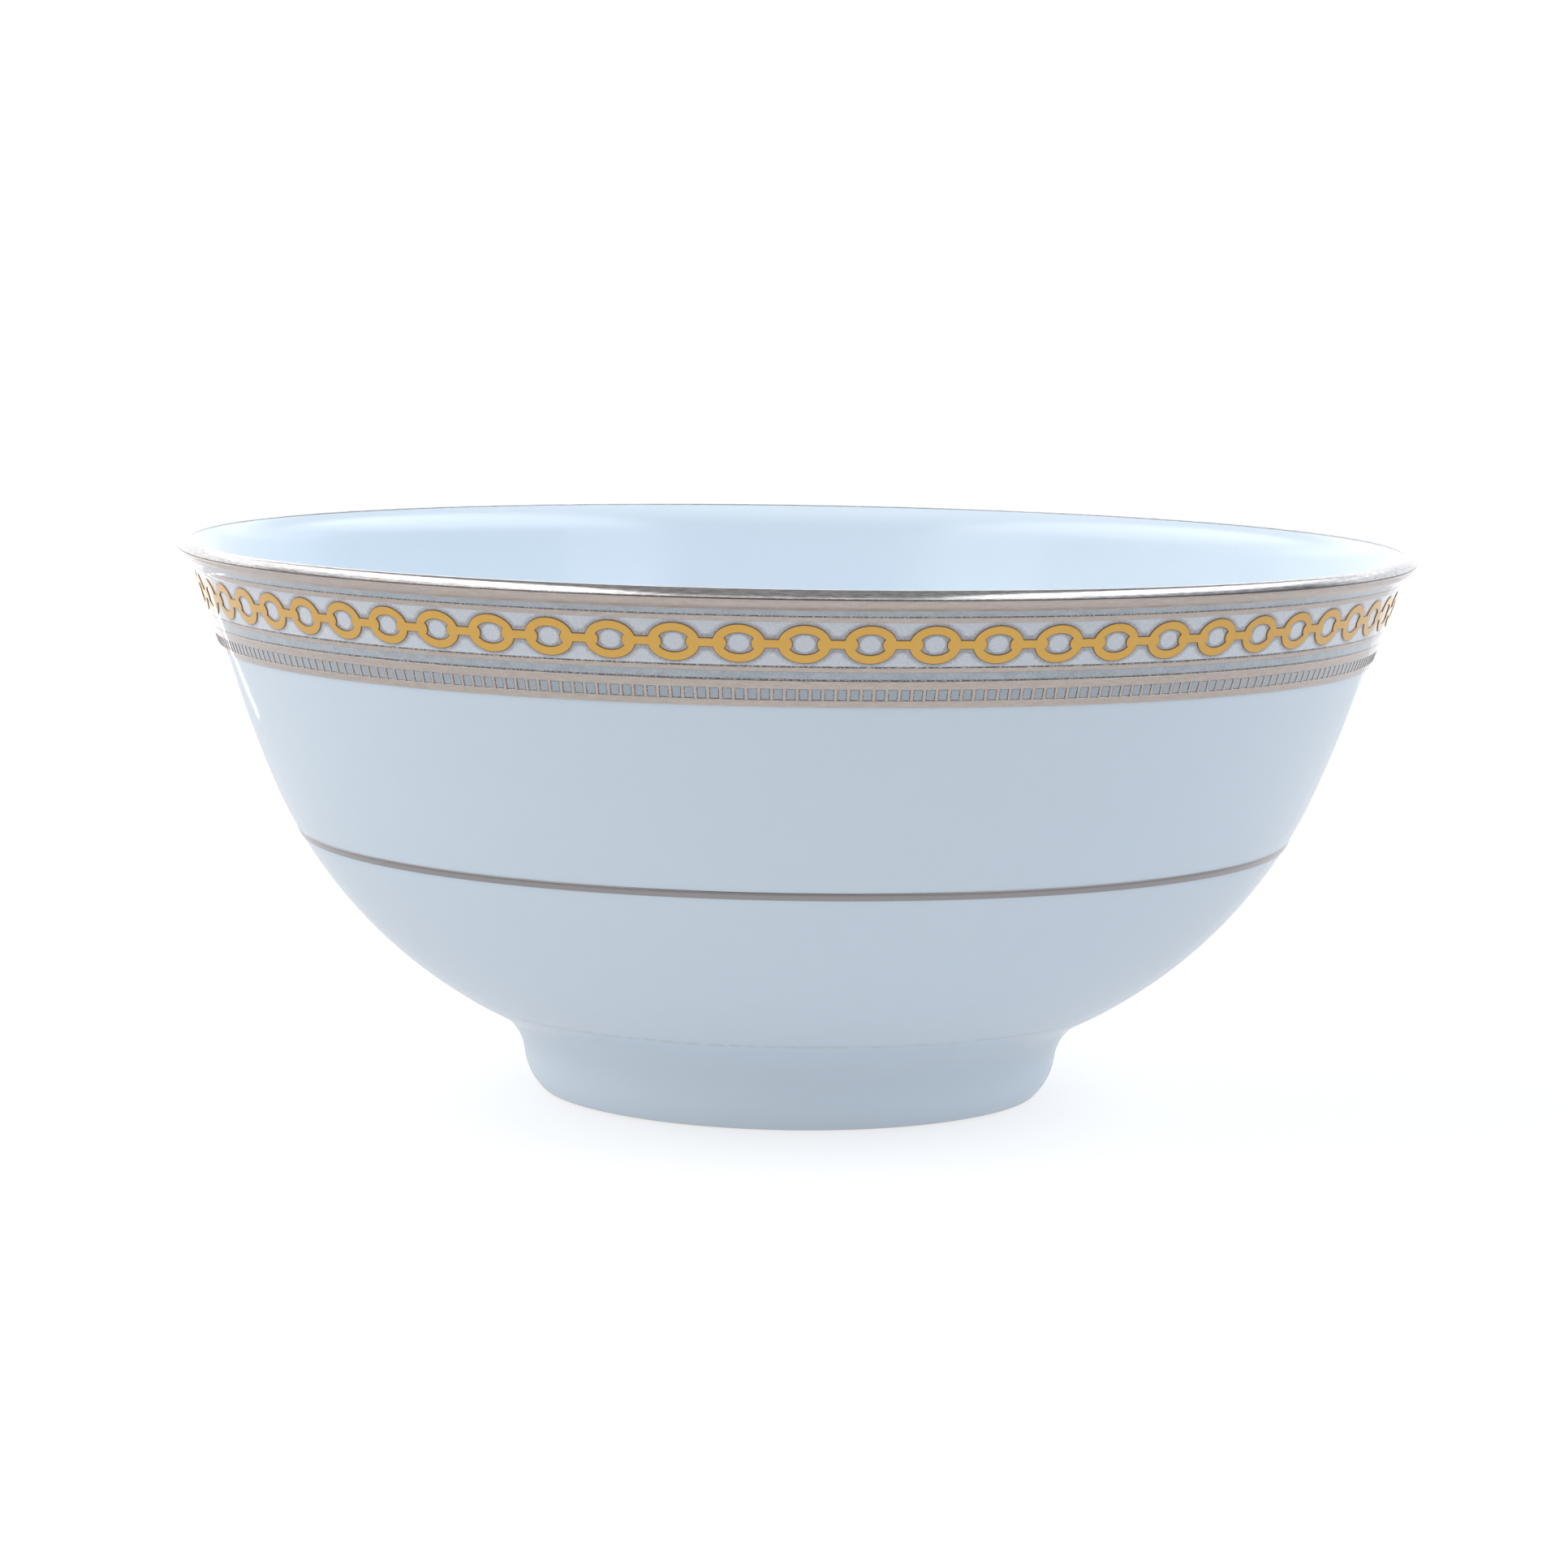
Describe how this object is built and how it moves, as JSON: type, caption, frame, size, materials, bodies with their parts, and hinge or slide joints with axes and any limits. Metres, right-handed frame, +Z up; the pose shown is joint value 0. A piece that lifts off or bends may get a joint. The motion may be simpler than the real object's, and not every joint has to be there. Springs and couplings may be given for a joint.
{
  "type": "porcelain serving bowl",
  "caption": "Round porcelain serving bowl on a foot ring, open at the top, with a flared lip, a gold chain between platinum bands round the rim and a platinum line on the belly.",
  "frame": {"origin": "centre of the standing ring, on the table plane", "axes": "+Z up along the bowl's axis of revolution; -Y is the front, where the first chain link is centred"},
  "size_m": [0.2284, 0.2284, 0.1025],
  "materials": {
    "porcelain_body": "matte",
    "porcelain_foot": "matte",
    "slip": "matte",
    "glaze": "gloss",
    "well_glaze": "gloss",
    "lip_platinum": "polished",
    "platinum_print": "satin",
    "belly_platinum": "satin",
    "grey_print": "gloss",
    "pale_print": "gloss",
    "dark_print": "gloss",
    "gold": "satin"
  },
  "bodies": {
    "root": {"bowl_body": "porcelain_body", "foot_ring": "porcelain_foot", "luting_slip": "slip", "glaze_coat": "glaze", "foot_well_glaze": "well_glaze", "lip_band": "lip_platinum", "wide_band": "platinum_print", "upper_line": "platinum_print", "lower_line": "platinum_print", "ladder_upper_rail": "platinum_print", "ladder_lower_rail": "platinum_print", "ladder_rungs": "platinum_print", "belly_line": "belly_platinum", "upper_stripe": "grey_print", "lower_stripe": "grey_print", "ladder_ground": "grey_print", "chain_ground": "pale_print", "upper_keyline": "dark_print", "middle_keyline": "dark_print", "lower_keyline": "dark_print", "chain_outline": "dark_print", "gold_chain": "gold"}
  },
  "joints": []
}
